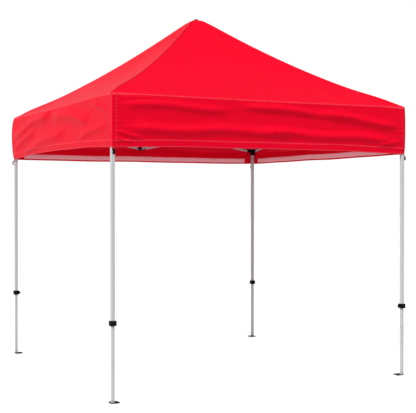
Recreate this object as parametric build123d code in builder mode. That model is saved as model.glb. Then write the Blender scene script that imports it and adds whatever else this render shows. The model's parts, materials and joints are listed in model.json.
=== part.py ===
"""Pop-up canopy, 3 m square: four telescoping legs, scissor trusses on the four sides and crossing in the
middle, a centre pole that lifts the roof, and one sewn fabric top.

Frame: millimetres, +Z up, origin on the ground under the centre pole. Front is -Y, right is +X.
Everything repeats four times round +Z, so each piece is built once, on the right side (+X) or at the
back right corner (+X, +Y), and turned by quarter turns.
"""

import os
from copy import copy
from math import asin, cos, radians, sin, sqrt

from build123d import *

os.makedirs("parts", exist_ok=True)

# ---------------------------------------------------------------- driving dimensions
LEG_AXIS = 1460.0  # centre line to a leg's axis, along X and along Y
TOP_PIVOT_Z = 2495.0  # upper row of pivots, canopy open
TRUSS_DEPTH = 250.0  # upper row of pivots to lower row, canopy open
PEAK_Z = 3491.0  # tip of the centre pole
EAVE_Z = 2541.0  # top of the valance
VALANCE_Z = 2092.0  # lower edge of the valance
CANOPY_HALF = 1484.0  # centre line to the outside of the valance

LEG_PIVOT_REACH = 56.0  # leg axis to the pivots beside it
SIDE_PIVOT_REACH = 36.0  # middle of a side connector to its two side pivots
HUB_PIVOT_REACH = 42.0  # centre line to the hubs' pivots
CROSS_PIVOT_REACH = LEG_PIVOT_REACH + SIDE_PIVOT_REACH - HUB_PIVOT_REACH

BAR_HEIGHT, BAR_THICKNESS, BAR_WALL, BAR_CORNER = 25.0, 12.0, 1.0, 2.4
BAR_END = 12.0  # bar end past its pivot
LAYER = 8.0  # the two bars of a scissor lie this far either side of the truss plane

PIN_R, PIN_EAR_HOLE_R, PIN_BAR_HOLE_R = 4.0, 4.05, 4.15
HEAD_R, HEAD_THICK, HEAD_GAP, HEAD_EDGE = 6.5, 2.4, 0.1, 0.6
SPACER_R, SPACER_THICK = 9.0, 3.4

EAR_R = 13.0
EAR_CLEAR = 1.0  # the ears start this far off the leg's face
NEAR_EAR = (-1.5, 1.5)  # the ear in the truss plane, and the ear outside the bar
FAR_EAR = (14.5, 18.0)

LEG_SIZE, LEG_WALL, LEG_CORNER = 32.0, 1.2, 4.0
LEG_BOTTOM_Z = 640.0
INNER_LEG_SIZE, INNER_LEG_WALL, INNER_LEG_CORNER = 26.0, 1.2, 3.0
INNER_LEG_TOP_Z = 900.0
ADJUSTMENT_HOLES_Z = (656.0, 556.0, 456.0)
ADJUSTMENT_HOLE_R = 4.5

BRACKET_WALL, BRACKET_CORNER, BRACKET_EDGE = 4.5, 6.0, 2.5
BRACKET_LOW_Z, BRACKET_TOP_Z = 2458.0, 2537.0
SLIDER_GAP, SLIDER_WALL = 0.5, 4.0
SLIDER_BELOW, SLIDER_ABOVE, SLIDER_EAR_HEIGHT = 48.0, 22.0, 30.0

LOCK_LOW_Z, LOCK_HIGH_Z, LOCK_SIZE, LOCK_CORNER, LOCK_EDGE = 635.0, 677.0, 54.0, 8.0, 3.0
LOCK_LIP_GAP = 0.4
BUTTON_Z = ADJUSTMENT_HOLES_Z[0]
BUTTON_R, BUTTON_GAP, BUTTON_FLANGE_R, BUTTON_EDGE = 7.0, 0.3, 8.8, 2.0
BUTTON_BOSS_R, BUTTON_BOSS_REACH = 13.0, 39.0  # the collar round the button, and its end from the leg's axis
BUTTON_REACH = 49.0  # leg axis to the button's pressed face
BUTTON_FLANGE = (18.0, 19.5)  # leg axis to the flange's two faces
BUTTON_BORE_END = 20.0  # leg axis to the end of the wide bore that the flange moves in
BORE_START = 15.0  # leg axis to the start of the bores, inside the leg's wall

FOOT_SIZE, FOOT_THICK, FOOT_INWARD, FOOT_CORNER, FOOT_EDGE = 78.0, 7.0, 20.0, 9.0, 1.5
SPIGOT_TOP_Z, SPIGOT_GAP = 34.0, 0.1  # the foot's block inside the leg
STAKE_HOLE_R, STAKE_HOLE_FAR, STAKE_HOLE_NEAR = 5.5, 44.0, -8.0
SCREW_Z, SCREW_HEAD_R, SCREW_HEAD_THICK, SCREW_EDGE = 21.0, 4.5, 2.2, 0.8

POLE_R, POLE_WALL, POLE_LOW_Z, POLE_TOP_Z = 12.5, 1.5, 2226.0, 3440.0
PLUG_SHOULDER_Z, PLUG_SHOULDER_EDGE, PLUG_TIP_R = 3452.0, 3.0, 7.0
PLUG_GRIP, PLUG_GAP = 25.0, 0.05  # the plug's length inside the pole, and its play there
GUIDE_R, GUIDE_BORE_R, GUIDE_BELOW = 16.5, 12.9, 215.0
HUB_SIZE, HUB_HALF_HEIGHT, HUB_CORNER, HUB_SKIRT, HUB_EDGE = 36.0, 16.0, 5.0, 8.0, 3.0

CONNECTOR_HALF_WEB = 8.0
CONNECTOR_BLOCK = (30.0, 46.0)  # width along the side, and height
CONNECTOR_CORNER, CONNECTOR_WEB_INSET = 4.0, 4.0

CLOTH = 1.0
CLOTH_DROP = 1.3  # the roof cloth, measured straight down
ROOF_OPENING = 9.0  # half the opening that the pole's tip comes through
# Outside of the roof on the centre line of a side: (share of the half width, height). It sags between
# the peak and the eave, because nothing holds it up there.
ROOF_RUN = ((0.06, 3436.0), (0.30, 3160.0), (0.55, 2906.0), (0.80, 2696.0))
ROOF_TOP_BELOW_PEAK = 17.0  # the cloth lies this far below the pole's tip

# ---------------------------------------------------------------- worked out from them
LOW_PIVOT_Z = TOP_PIVOT_Z - TRUSS_DEPTH
SPAN = LEG_AXIS - LEG_PIVOT_REACH - SIDE_PIVOT_REACH
SIDES = ("right", "back", "left", "front")
CORNERS = ("back_right", "back_left", "front_left", "front_right")
# The two ends of each side: first the one on the way round from +X to +Y, then the other.
HALVES = (("back", "front"), ("left", "right"), ("front", "back"), ("right", "left"))
DIAGONAL = Plane(origin=(0, 0, 0), x_dir=(0, 0, 1), z_dir=(1, -1, 0))


def save(shape, name):
    """Writes one sub-part, already in its place."""
    shape.label = name
    export_step(shape, f"parts/{name}.step")


def group(solids):
    """Separate solids that share one sub-part."""
    return Compound(children=list(solids))


def save_round(shape, names):
    """Writes a sub-part and its three quarter-turn copies."""
    for quarter, name in enumerate(names):
        save(copy(shape).rotate(Axis.Z, 90 * quarter), name)


def ears(pivot, body, layer, height=2 * EAR_R):
    """Adds a clevis to the part being built: two ears from the body to a pivot, either side of a bar.
    pivot and body are points in the truss plane, and layer points from that plane to the bar's side."""
    along = body - pivot
    for near, far in (NEAR_EAR, FAR_EAR):
        ear_plane = Plane(origin=pivot + layer * near, x_dir=along, z_dir=layer)
        with BuildSketch(ear_plane) as ear:
            Circle(height / 2)
            with Locations((along.length / 2, 0)):
                Rectangle(along.length, height)
            Circle(PIN_EAR_HOLE_R, mode=Mode.SUBTRACT)
        extrude(ear.sketch, amount=far - near, dir=layer)


def clevis_pin(pivot, layer):
    """A headed pin through a clevis and the bar in it."""
    low, high = NEAR_EAR[0] - HEAD_GAP, FAR_EAR[1] + HEAD_GAP
    with BuildPart() as pin:
        for start, length, radius in (
            (low - HEAD_THICK, HEAD_THICK, HEAD_R),
            (low, high - low, PIN_R),
            (high, HEAD_THICK, HEAD_R),
        ):
            with BuildSketch(Plane(origin=pivot + layer * start, z_dir=layer)):
                Circle(radius)
            extrude(amount=length)
        chamfer(pin.edges().filter_by(GeomType.CIRCLE).group_by(SortBy.RADIUS)[-1], HEAD_EDGE)
    return pin.part


def scissor_rivet(middle, layer):
    """The rivet at a scissor's crossing, with the spacer that keeps its two bars apart."""
    half = LAYER + BAR_THICKNESS / 2 + HEAD_GAP
    with BuildPart() as rivet:
        for start, length, radius in (
            (-half - HEAD_THICK, HEAD_THICK, HEAD_R),
            (-half, 2 * half, PIN_R),
            (-SPACER_THICK / 2, SPACER_THICK, SPACER_R),
            (half, HEAD_THICK, HEAD_R),
        ):
            with BuildSketch(Plane(origin=middle + layer * start, z_dir=layer)):
                Circle(radius)
            extrude(amount=length)
    return rivet.part


def truss_bar(inner, outer, layer):
    """A tube from one pivot to another, beside the truss plane, with holes at its ends and its middle."""
    run = outer - inner
    along = run.normalized()
    start = inner + layer * LAYER
    with BuildPart() as bar:
        with BuildSketch(Plane(origin=start - along * BAR_END, x_dir=layer, z_dir=along)):
            RectangleRounded(BAR_THICKNESS, BAR_HEIGHT, BAR_CORNER)
            RectangleRounded(
                BAR_THICKNESS - 2 * BAR_WALL,
                BAR_HEIGHT - 2 * BAR_WALL,
                BAR_CORNER - BAR_WALL,
                mode=Mode.SUBTRACT,
            )
        extrude(amount=run.length + 2 * BAR_END)
        with BuildSketch(Plane(origin=start, x_dir=along, z_dir=layer)):
            with Locations((0, 0), (run.length / 2, 0), (run.length, 0)):
                Circle(PIN_BAR_HOLE_R)
        extrude(amount=BAR_THICKNESS, both=True, mode=Mode.SUBTRACT)
    return bar.part


# ---------------------------------------------------------------- cross trusses, hub to side connector
INWARD, SIDEWAYS, UP = Vector(-1, 0, 0), Vector(0, 1, 0), Vector(0, 0, 1)
hub_top = Vector(HUB_PIVOT_REACH, 0, TOP_PIVOT_Z)
hub_low = Vector(HUB_PIVOT_REACH, 0, LOW_PIVOT_Z)
cross_top = Vector(HUB_PIVOT_REACH + SPAN, 0, TOP_PIVOT_Z)
cross_low = Vector(HUB_PIVOT_REACH + SPAN, 0, LOW_PIVOT_Z)

cross_down_bar = truss_bar(hub_top, cross_low, SIDEWAYS)
cross_up_bar = truss_bar(hub_low, cross_top, -SIDEWAYS)
cross_rivet = scissor_rivet((hub_top + cross_low) / 2, SIDEWAYS)
save_round(group([cross_down_bar, cross_rivet]), [f"{s}_cross_down_bar" for s in SIDES])
save_round(cross_up_bar, [f"{s}_cross_up_bar" for s in SIDES])

# ---------------------------------------------------------------- side trusses, connector to leg
OUTWARD = Vector(1, 0, 0)
for end, halves in zip((1, -1), zip(*HALVES)):
    side_top = Vector(LEG_AXIS, end * SIDE_PIVOT_REACH, TOP_PIVOT_Z)
    side_low = Vector(LEG_AXIS, end * SIDE_PIVOT_REACH, LOW_PIVOT_Z)
    leg_top = Vector(LEG_AXIS, end * (SIDE_PIVOT_REACH + SPAN), TOP_PIVOT_Z)
    leg_low = Vector(LEG_AXIS, end * (SIDE_PIVOT_REACH + SPAN), LOW_PIVOT_Z)

    side_down_bar = truss_bar(side_top, leg_low, OUTWARD)
    side_up_bar = truss_bar(side_low, leg_top, -OUTWARD)
    side_rivet = scissor_rivet((side_top + leg_low) / 2, OUTWARD)
    save_round(
        group([side_down_bar, side_rivet]),
        [f"{s}_truss_down_bar_{h}" for s, h in zip(SIDES, halves)],
    )
    save_round(side_up_bar, [f"{s}_truss_up_bar_{h}" for s, h in zip(SIDES, halves)])


# ---------------------------------------------------------------- side connectors, upper and lower
def side_connector(height, side_layer, cross_layer):
    """The moulding in the middle of a side, where two side bars and one cross bar meet, and its pins."""
    middle = Vector(LEG_AXIS, 0, height)
    cross_pivot = middle + INWARD * CROSS_PIVOT_REACH
    with BuildPart() as connector:
        for near, far in (NEAR_EAR, FAR_EAR):
            plate_plane = Plane(origin=middle + side_layer * near, x_dir=SIDEWAYS, z_dir=side_layer)
            with BuildSketch(plate_plane):
                SlotCenterToCenter(2 * SIDE_PIVOT_REACH, 2 * EAR_R)
                RectangleRounded(*CONNECTOR_BLOCK, CONNECTOR_CORNER)
                with Locations((-SIDE_PIVOT_REACH, 0), (SIDE_PIVOT_REACH, 0)):
                    Circle(PIN_EAR_HOLE_R, mode=Mode.SUBTRACT)
            extrude(amount=far - near)
        with BuildSketch(Plane(origin=middle, x_dir=SIDEWAYS, z_dir=side_layer)):
            Rectangle(2 * CONNECTOR_HALF_WEB, CONNECTOR_BLOCK[1] - 2 * CONNECTOR_WEB_INSET)
        extrude(amount=FAR_EAR[0])
        ears(cross_pivot, middle, cross_layer)
    pins = [
        clevis_pin(middle + SIDEWAYS * SIDE_PIVOT_REACH, side_layer),
        clevis_pin(middle - SIDEWAYS * SIDE_PIVOT_REACH, side_layer),
        clevis_pin(cross_pivot, cross_layer),
    ]
    return group([connector.part, *pins])


save_round(
    side_connector(TOP_PIVOT_Z, OUTWARD, -SIDEWAYS), [f"{s}_top_connector" for s in SIDES]
)
save_round(
    side_connector(LOW_PIVOT_Z, -OUTWARD, SIDEWAYS), [f"{s}_bottom_connector" for s in SIDES]
)


# ---------------------------------------------------------------- hubs, centre pole and its plug
def hub_directions():
    """(towards a side, across it) for the four sides."""
    for quarter in range(4):
        yield OUTWARD.rotate(Axis.Z, 90 * quarter), SIDEWAYS.rotate(Axis.Z, 90 * quarter)


def hub_pins(height, turn):
    """The four pins of a hub, whose bars lie on the turn side of each cross truss."""
    return [
        clevis_pin(out * HUB_PIVOT_REACH + UP * height, across * turn)
        for out, across in hub_directions()
    ]


with BuildPart() as upper_hub:
    with BuildSketch(Plane.XY.offset(TOP_PIVOT_Z - HUB_HALF_HEIGHT)):
        RectangleRounded(HUB_SIZE, HUB_SIZE, HUB_CORNER)
    extrude(amount=2 * HUB_HALF_HEIGHT)
    with BuildSketch(Plane.XY.offset(TOP_PIVOT_Z - GUIDE_BELOW)):
        Circle(GUIDE_R)
    extrude(amount=GUIDE_BELOW)
    for out, across in hub_directions():
        ears(out * HUB_PIVOT_REACH + UP * TOP_PIVOT_Z, out * GUIDE_R + UP * TOP_PIVOT_Z, across)
    with BuildSketch(Plane.XY.offset(TOP_PIVOT_Z - GUIDE_BELOW)):
        Circle(GUIDE_BORE_R)
    extrude(amount=GUIDE_BELOW + HUB_HALF_HEIGHT, mode=Mode.SUBTRACT)
save(group([upper_hub.part, *hub_pins(TOP_PIVOT_Z, 1)]), "upper_hub")

with BuildPart() as lower_hub:
    with BuildSketch(Plane.XY.offset(LOW_PIVOT_Z - HUB_HALF_HEIGHT - HUB_SKIRT)):
        RectangleRounded(HUB_SIZE, HUB_SIZE, HUB_CORNER)
    extrude(amount=2 * HUB_HALF_HEIGHT + HUB_SKIRT)
    for out, across in hub_directions():
        ears(out * HUB_PIVOT_REACH + UP * LOW_PIVOT_Z, out * GUIDE_R + UP * LOW_PIVOT_Z, -across)
    with BuildSketch(Plane.XY.offset(POLE_LOW_Z)):
        Circle(POLE_R)
    extrude(amount=LOW_PIVOT_Z + HUB_HALF_HEIGHT - POLE_LOW_Z, mode=Mode.SUBTRACT)
    chamfer(lower_hub.faces().sort_by(Axis.Z)[0].edges(), HUB_EDGE)
save(group([lower_hub.part, *hub_pins(LOW_PIVOT_Z, -1)]), "lower_hub")

with BuildPart() as pole_tube:
    with BuildSketch(Plane.XY.offset(POLE_LOW_Z)):
        Circle(POLE_R)
        Circle(POLE_R - POLE_WALL, mode=Mode.SUBTRACT)
    extrude(amount=POLE_TOP_Z - POLE_LOW_Z)

PLUG_LOW_Z = POLE_TOP_Z - PLUG_GRIP
PLUG_GRIP_R = POLE_R - POLE_WALL - PLUG_GAP
with BuildPart() as pole_plug:
    with BuildSketch(Plane.XZ):
        with BuildLine():
            Polyline(
                (0, PLUG_LOW_Z),
                (PLUG_GRIP_R, PLUG_LOW_Z),
                (PLUG_GRIP_R, POLE_TOP_Z),
                (POLE_R, POLE_TOP_Z),
                (POLE_R, PLUG_SHOULDER_Z - PLUG_SHOULDER_EDGE),
                (POLE_R - PLUG_SHOULDER_EDGE, PLUG_SHOULDER_Z),
                (PLUG_TIP_R, PLUG_SHOULDER_Z),
                (PLUG_TIP_R, PEAK_Z - PLUG_TIP_R),
            )
            RadiusArc((PLUG_TIP_R, PEAK_Z - PLUG_TIP_R), (0, PEAK_Z), -PLUG_TIP_R)
            Line((0, PEAK_Z), (0, PLUG_LOW_Z))
        make_face()
    revolve(axis=Axis.Z)
save(group([pole_tube.part, pole_plug.part]), "center_pole")

# ---------------------------------------------------------------- legs, at the back right corner
LEG = Vector(LEG_AXIS, LEG_AXIS, 0)
LEG_PLANE = Plane(origin=LEG)


def square_tube(low, high, size, wall, corner):
    """A square tube on the leg's axis."""
    with BuildPart() as tube:
        with BuildSketch(LEG_PLANE.offset(low)):
            RectangleRounded(size, size, corner)
            RectangleRounded(size - 2 * wall, size - 2 * wall, corner - wall, mode=Mode.SUBTRACT)
        extrude(amount=high - low)
    return tube.part


def button_plane(reach):
    """Faces along -Y, on the lock button's axis, at a distance from the leg's axis."""
    return Plane(origin=LEG + Vector(0, -reach, BUTTON_Z), x_dir=(1, 0, 0), z_dir=(0, -1, 0))


with BuildPart() as leg_upper:
    add(square_tube(LEG_BOTTOM_Z, BRACKET_TOP_Z - BRACKET_WALL, LEG_SIZE, LEG_WALL, LEG_CORNER))
    with BuildSketch(button_plane(LEG_SIZE / 2 - 2 * LEG_WALL)):
        Circle(BUTTON_FLANGE_R + BUTTON_GAP)
    extrude(amount=3 * LEG_WALL, mode=Mode.SUBTRACT)
save_round(leg_upper.part, [f"{c}_leg_upper" for c in CORNERS])

with BuildPart() as leg_lower:
    add(square_tube(FOOT_THICK, INNER_LEG_TOP_Z, INNER_LEG_SIZE, INNER_LEG_WALL, INNER_LEG_CORNER))
    with BuildSketch(button_plane(INNER_LEG_SIZE / 2 - 2 * INNER_LEG_WALL)):
        with Locations(*[(0, z - BUTTON_Z) for z in ADJUSTMENT_HOLES_Z]):
            Circle(ADJUSTMENT_HOLE_R)
    extrude(amount=3 * INNER_LEG_WALL, mode=Mode.SUBTRACT)
save_round(leg_lower.part, [f"{c}_leg_lower" for c in CORNERS])

BRACKET_SIZE = LEG_SIZE + 2 * BRACKET_WALL
with BuildPart() as top_bracket:
    with BuildSketch(LEG_PLANE.offset(BRACKET_LOW_Z)):
        RectangleRounded(BRACKET_SIZE, BRACKET_SIZE, BRACKET_CORNER)
    extrude(amount=BRACKET_TOP_Z - BRACKET_LOW_Z)
    fillet(top_bracket.faces().sort_by(Axis.Z)[-1].edges(), BRACKET_EDGE)
    ears(
        LEG + Vector(0, -LEG_PIVOT_REACH, TOP_PIVOT_Z),
        LEG + Vector(0, -LEG_SIZE / 2 - EAR_CLEAR, TOP_PIVOT_Z),
        INWARD,
    )
    mirror(about=DIAGONAL)
    with BuildSketch(LEG_PLANE.offset(BRACKET_LOW_Z)):
        RectangleRounded(LEG_SIZE, LEG_SIZE, LEG_CORNER)
    extrude(amount=BRACKET_TOP_Z - BRACKET_WALL - BRACKET_LOW_Z, mode=Mode.SUBTRACT)

with BuildPart() as lock_housing:
    with BuildSketch(LEG_PLANE.offset(LOCK_LOW_Z)):
        RectangleRounded(LOCK_SIZE, LOCK_SIZE, LOCK_CORNER)
    extrude(amount=LOCK_HIGH_Z - LOCK_LOW_Z)
    fillet(lock_housing.edges().filter_by(Plane.XY), LOCK_EDGE)
    with BuildSketch(button_plane(LEG_SIZE / 2 + EAR_CLEAR)):
        Circle(BUTTON_BOSS_R)
    extrude(amount=BUTTON_BOSS_REACH - LEG_SIZE / 2 - EAR_CLEAR)
    fillet(lock_housing.faces().sort_by(Axis.Y)[0].edges(), BUTTON_EDGE)
    with BuildSketch(LEG_PLANE.offset(LEG_BOTTOM_Z)):
        RectangleRounded(LEG_SIZE, LEG_SIZE, LEG_CORNER)
    extrude(amount=LOCK_HIGH_Z - LEG_BOTTOM_Z, mode=Mode.SUBTRACT)
    with BuildSketch(LEG_PLANE.offset(LOCK_LOW_Z)):
        lip_opening = INNER_LEG_SIZE + 2 * LOCK_LIP_GAP
        RectangleRounded(lip_opening, lip_opening, INNER_LEG_CORNER)
    extrude(amount=LEG_BOTTOM_Z - LOCK_LOW_Z, mode=Mode.SUBTRACT)
    for radius, end in (
        (BUTTON_R + BUTTON_GAP, BUTTON_REACH),
        (BUTTON_FLANGE_R + BUTTON_GAP, BUTTON_BORE_END),
    ):
        with BuildSketch(button_plane(BORE_START)):
            Circle(radius)
        extrude(amount=end - BORE_START, mode=Mode.SUBTRACT)


def leg_pins(height, layer):
    """The two pins beside a leg, for the bars of the two sides that meet there."""
    pin = clevis_pin(LEG + Vector(0, -LEG_PIVOT_REACH, height), layer)
    return [pin, mirror(pin, about=DIAGONAL)]


save_round(
    group([top_bracket.part, lock_housing.part, *leg_pins(TOP_PIVOT_Z, INWARD)]),
    [f"{c}_leg_fittings" for c in CORNERS],
)

SLIDER_BORE = LEG_SIZE + 2 * SLIDER_GAP
SLIDER_SIZE = SLIDER_BORE + 2 * SLIDER_WALL
with BuildPart() as slider:
    with BuildSketch(LEG_PLANE.offset(LOW_PIVOT_Z - SLIDER_BELOW)):
        RectangleRounded(SLIDER_SIZE, SLIDER_SIZE, BRACKET_CORNER)
    extrude(amount=SLIDER_BELOW + SLIDER_ABOVE)
    ears(
        LEG + Vector(0, -LEG_PIVOT_REACH, LOW_PIVOT_Z),
        LEG + Vector(0, -SLIDER_BORE / 2 - EAR_CLEAR, LOW_PIVOT_Z),
        OUTWARD,
        height=SLIDER_EAR_HEIGHT,
    )
    mirror(about=DIAGONAL)
    with BuildSketch(LEG_PLANE.offset(LOW_PIVOT_Z - SLIDER_BELOW)):
        RectangleRounded(SLIDER_BORE, SLIDER_BORE, LEG_CORNER)
    extrude(amount=SLIDER_BELOW + SLIDER_ABOVE, mode=Mode.SUBTRACT)
save_round(
    group([slider.part, *leg_pins(LOW_PIVOT_Z, OUTWARD)]), [f"{c}_slider" for c in CORNERS]
)

with BuildPart() as lock_button:
    with BuildSketch(button_plane(BUTTON_FLANGE[0])):
        Circle(BUTTON_FLANGE_R)
    extrude(amount=BUTTON_FLANGE[1] - BUTTON_FLANGE[0])
    with BuildSketch(button_plane(BUTTON_FLANGE[0])):
        Circle(BUTTON_R)
    extrude(amount=BUTTON_REACH - BUTTON_FLANGE[0])
    fillet(lock_button.faces().sort_by(Axis.Y)[0].edges(), BUTTON_EDGE)
save_round(lock_button.part, [f"{c}_lock_button" for c in CORNERS])

# ---------------------------------------------------------------- feet
FOOT_CENTRE = LEG + Vector(-FOOT_INWARD, -FOOT_INWARD, 0)
with BuildPart() as foot_plate:
    with BuildSketch(Plane(origin=FOOT_CENTRE)):
        RectangleRounded(FOOT_SIZE, FOOT_SIZE, FOOT_CORNER)
    extrude(amount=FOOT_THICK)
    chamfer(foot_plate.faces().sort_by(Axis.Z)[-1].edges(), FOOT_EDGE)
    with BuildSketch(LEG_PLANE.offset(FOOT_THICK)):
        spigot_size = INNER_LEG_SIZE - 2 * INNER_LEG_WALL - 2 * SPIGOT_GAP
        RectangleRounded(spigot_size, spigot_size, INNER_LEG_CORNER - INNER_LEG_WALL)
    extrude(amount=SPIGOT_TOP_Z - FOOT_THICK)
    with BuildSketch(LEG_PLANE):
        with Locations((-STAKE_HOLE_FAR, -STAKE_HOLE_NEAR), (-STAKE_HOLE_NEAR, -STAKE_HOLE_FAR)):
            Circle(STAKE_HOLE_R)
    extrude(amount=FOOT_THICK, mode=Mode.SUBTRACT)

with BuildPart() as foot_screw:
    screw_plane = Plane(origin=LEG + Vector(0, INNER_LEG_SIZE / 2, SCREW_Z), z_dir=(0, 1, 0))
    with BuildSketch(screw_plane):
        Circle(SCREW_HEAD_R)
    extrude(amount=SCREW_HEAD_THICK)
    chamfer(foot_screw.faces().sort_by(Axis.Y)[-1].edges(), SCREW_EDGE)
save_round(
    group([foot_plate.part, foot_screw.part, mirror(foot_screw.part, about=DIAGONAL)]),
    [f"{c}_foot" for c in CORNERS],
)

# ---------------------------------------------------------------- fabric top: four roof panels, four valances
roof_outline = [
    (ROOF_OPENING, PEAK_Z - ROOF_TOP_BELOW_PEAK),
    *[(share * CANOPY_HALF, z) for share, z in ROOF_RUN],
    (CANOPY_HALF, EAVE_Z),
]
with BuildPart() as roof_panel:
    with BuildSketch(Plane.XZ):
        with BuildLine():
            Polyline(
                *roof_outline,
                *[(x, z - CLOTH_DROP) for x, z in reversed(roof_outline)],
                close=True,
            )
        make_face()
    extrude(amount=CANOPY_HALF, both=True)
    with BuildSketch(Plane.XY.offset(VALANCE_Z)):
        wide = 2 * CANOPY_HALF
        Polygon((0, 0), (wide, -wide), (wide, wide), align=None)
    extrude(amount=PEAK_Z - VALANCE_Z, mode=Mode.INTERSECT)

with BuildPart() as valance_panel:
    with BuildSketch(Plane.XY.offset(VALANCE_Z)):
        inner_face = CANOPY_HALF - CLOTH
        Polygon(
            (inner_face, -inner_face),
            (CANOPY_HALF, -CANOPY_HALF),
            (CANOPY_HALF, CANOPY_HALF),
            (inner_face, inner_face),
            align=None,
        )
    extrude(amount=EAVE_Z - CLOTH_DROP - VALANCE_Z)

canopy_panels = [
    copy(panel).rotate(Axis.Z, 90 * quarter)
    for quarter in range(4)
    for panel in (roof_panel.part, valance_panel.part)
]
save(group(canopy_panels), "canopy_top")
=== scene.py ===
"""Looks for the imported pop-up canopy: sewn cloth, strips, corner straps, materials, floor, light and camera.

Metres, +Z up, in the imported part's frame: origin on the ground under the centre pole, front -Y, right +X.
"""

import json
import math

import bpy
import numpy as np
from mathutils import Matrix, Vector

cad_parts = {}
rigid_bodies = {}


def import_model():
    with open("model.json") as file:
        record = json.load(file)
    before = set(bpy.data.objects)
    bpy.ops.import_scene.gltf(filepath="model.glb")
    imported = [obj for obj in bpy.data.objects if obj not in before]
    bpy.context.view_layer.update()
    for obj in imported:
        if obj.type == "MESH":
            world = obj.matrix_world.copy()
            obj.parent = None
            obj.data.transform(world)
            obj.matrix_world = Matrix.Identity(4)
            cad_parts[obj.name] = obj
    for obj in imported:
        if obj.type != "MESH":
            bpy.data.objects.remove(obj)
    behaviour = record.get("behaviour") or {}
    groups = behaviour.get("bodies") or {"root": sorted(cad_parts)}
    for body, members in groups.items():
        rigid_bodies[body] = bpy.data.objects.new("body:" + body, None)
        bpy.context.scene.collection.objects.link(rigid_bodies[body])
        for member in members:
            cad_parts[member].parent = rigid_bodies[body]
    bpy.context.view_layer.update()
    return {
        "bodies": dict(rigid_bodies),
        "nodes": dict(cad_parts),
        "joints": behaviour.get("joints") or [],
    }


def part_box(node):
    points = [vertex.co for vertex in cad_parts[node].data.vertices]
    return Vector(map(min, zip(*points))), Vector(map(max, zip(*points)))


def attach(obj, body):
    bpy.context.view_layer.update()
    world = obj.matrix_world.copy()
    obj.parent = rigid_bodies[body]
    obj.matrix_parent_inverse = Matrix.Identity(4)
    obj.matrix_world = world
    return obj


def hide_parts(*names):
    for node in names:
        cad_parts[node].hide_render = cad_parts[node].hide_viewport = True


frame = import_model()
joints = {joint["name"]: joint for joint in frame["joints"]}

# ---------------------------------------------------------------- sizes taken from the frame
CLOTH_LOW, CLOTH_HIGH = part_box("canopy_top")
HALF = CLOTH_HIGH.x  # centre line to the outside of the valance
HEM_Z = CLOTH_LOW.z
VALANCE = 0.449  # drop of the valance
EAVE_Z = HEM_Z + VALANCE
LEG_AXIS = joints["back_right_slider_pivot"]["pos_m"][0]
CORNERS = ("back_right", "back_left", "front_left", "front_right")  # a quarter turn apart
SIDES = ("right", "back", "left", "front")
FRONT, LEFT = SIDES.index("front"), SIDES.index("left")

# How far the legs and the side connectors come in, and the lower hub goes down, as the frame folds.
bar_top = Vector(joints["frame_fold"]["pos_m"])
bar_low = Vector(joints["right_bottom_connector_pivot"]["pos_m"])
open_angle = math.atan2(bar_top.z - bar_low.z, bar_low.x - bar_top.x)
folded_angle = open_angle + math.radians(joints["frame_fold"]["range_deg"][1])
BAR = (bar_low - bar_top).length
TRAVEL_IN = BAR * (math.cos(open_angle) - math.cos(folded_angle))
TRAVEL_DOWN = BAR * (math.sin(folded_angle) - math.sin(open_angle))

# ---------------------------------------------------------------- cloth dimensions
PEAK_OPENING = 0.006  # as a share of HALF
PEAK_DULLING = 0.044  # how far the point of the roof is rounded down
ROOF_RISE, ROOF_SLOPE, ROOF_CURVE = 0.983, 1.286, 0.304  # height above the eave at a share of the way out
ROOF_BELLY = 0.016  # extra sag in the middle of a roof panel
ROOF_DRIFT = 0.003  # slow unevenness of a roof panel
HIP_LIFT = 0.011  # the hips straighten out towards the legs
FAN_DEPTH, FAN_REACH = 0.0028, 0.36  # of the wrinkles that fan out from the roof's corners
EAVE_SAG = 0.008  # of the eave between two legs
EAVE_RADIUS, CORNER_EAVE_RADIUS, EAVE_RADIUS_REACH = 0.009, 0.026, 0.16
CORNER_RADIUS = 0.016
CORNER_BULGE = (0.004, 0.016, 0.004, 0.004)  # of the valance at each corner, half way down
BULGE_REACH = 0.2  # of a corner's bulge along the side
CORNER_TAPE = 0.050  # the seam beside each corner
HEM_HEIGHT = 0.057
HEM_THICKNESS = 0.0022
HEM_START = 0.868  # where the turned-up hem begins, as a share of the valance
HEM_LINE = 0.93  # the hem's stitches, as a share of the valance
ARCH = {FRONT: 0.017, LEFT: 0.034}  # rise of a valance's lower edge at mid span
OTHER_ARCH = -0.004
HEM_RIPPLES = (0.0022, 0.0015)
SLOW_WAVE = 0.004  # of a whole valance in and out
PUCKER_DEPTH, PUCKER_CLEAR = 0.0025, 0.045  # of the puckers beside a corner, and where they begin to fade
TUCK_DEPTH, TUCK_REACH = 0.0035, 0.10  # the hem is drawn in at the corners
GATHER_DEPTH, GATHER_PITCH = 0.0011, 0.031  # of the gathers along the hem's stitches
LEAST_STAND_OFF = -0.0012  # the cloth keeps clear of the pin heads behind it

FINE_STEP, COARSE_STEP, FINE_ZONE = 0.0028, 0.0155, 0.26  # spacing of the mesh, at the corners and between
ROOF_FINE, ROOF_COARSE, ROOF_ZONE = 0.010, 0.044, 0.9
BEND_ROWS, VALANCE_ROWS, HEM_ROWS = 6, 52, 14
TURNED_UP = (0.0012, 0.012, 0.030, 0.048, HEM_HEIGHT)  # rows of the turned-up hem, above its edge
FAR = 9.0  # distance to a seam that is on another part of the sheet

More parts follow.
